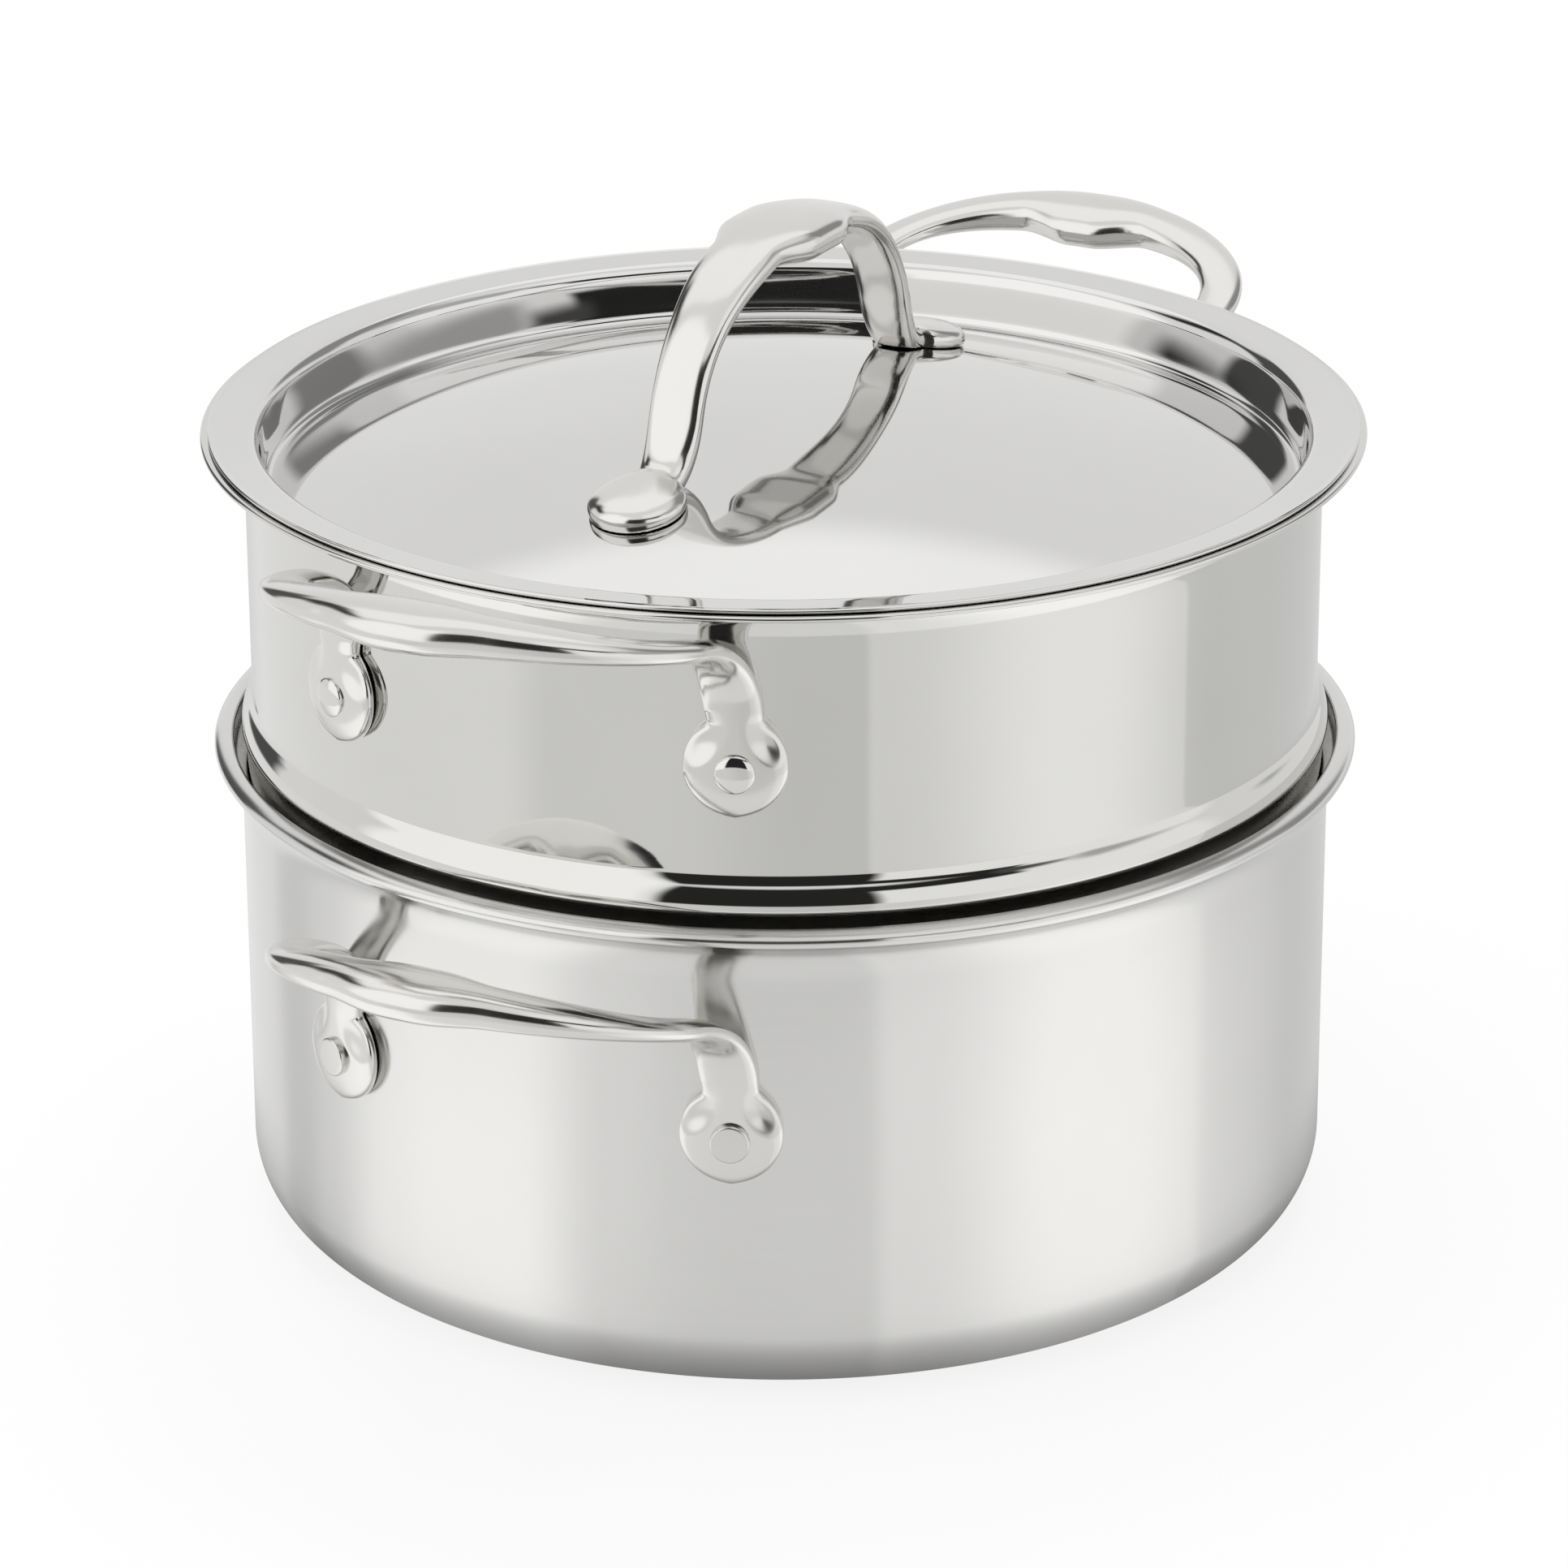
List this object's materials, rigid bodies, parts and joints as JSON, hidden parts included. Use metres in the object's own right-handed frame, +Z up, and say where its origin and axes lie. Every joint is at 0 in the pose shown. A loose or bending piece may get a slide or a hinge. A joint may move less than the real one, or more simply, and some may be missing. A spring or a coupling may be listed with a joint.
{
  "type": "soup pot with steamer insert",
  "caption": "Round steel soup pot with looped cast handles, a lift-out steamer insert with a perforated floor on its lip, and a recessed domed lid with an arched handle.",
  "frame": {"origin": "centre of the pot's base, on the surface it stands on", "axes": "+Z up the pot's axis, +X through the middles of the loop handles"},
  "size_m": [0.3456, 0.2584, 0.2298],
  "materials": {
    "pot_steel": "satin polished",
    "insert_steel": "mirror polished stainless steel",
    "lid_steel": "mirror polished stainless steel",
    "cast_steel": "mirror polished cast stainless steel",
    "rivet_steel": "polished"
  },
  "bodies": {
    "pot": {"pot_body": "pot_steel", "pot_handle_right": "cast_steel", "pot_rivet_right_back": "rivet_steel", "pot_rivet_right_front": "rivet_steel", "pot_handle_left": "cast_steel", "pot_rivet_left_back": "rivet_steel", "pot_rivet_left_front": "rivet_steel"},
    "insert": {"steamer_insert": "insert_steel", "insert_handle_right": "cast_steel", "insert_rivet_right_back": "rivet_steel", "insert_rivet_right_front": "rivet_steel", "insert_handle_left": "cast_steel", "insert_rivet_left_back": "rivet_steel", "insert_rivet_left_front": "rivet_steel"},
    "lid": {"lid_shell": "lid_steel", "lid_handle": "cast_steel"}
  },
  "joints": [
    {"name": "insert_lift", "type": "slide", "parent": "pot", "child": "insert", "axis": [0, 0, 1], "range_m": [0, 0.1]},
    {"name": "lid_lift", "type": "slide", "parent": "insert", "child": "lid", "axis": [0, 0, 1], "range_m": [0, 0.08]}
  ]
}
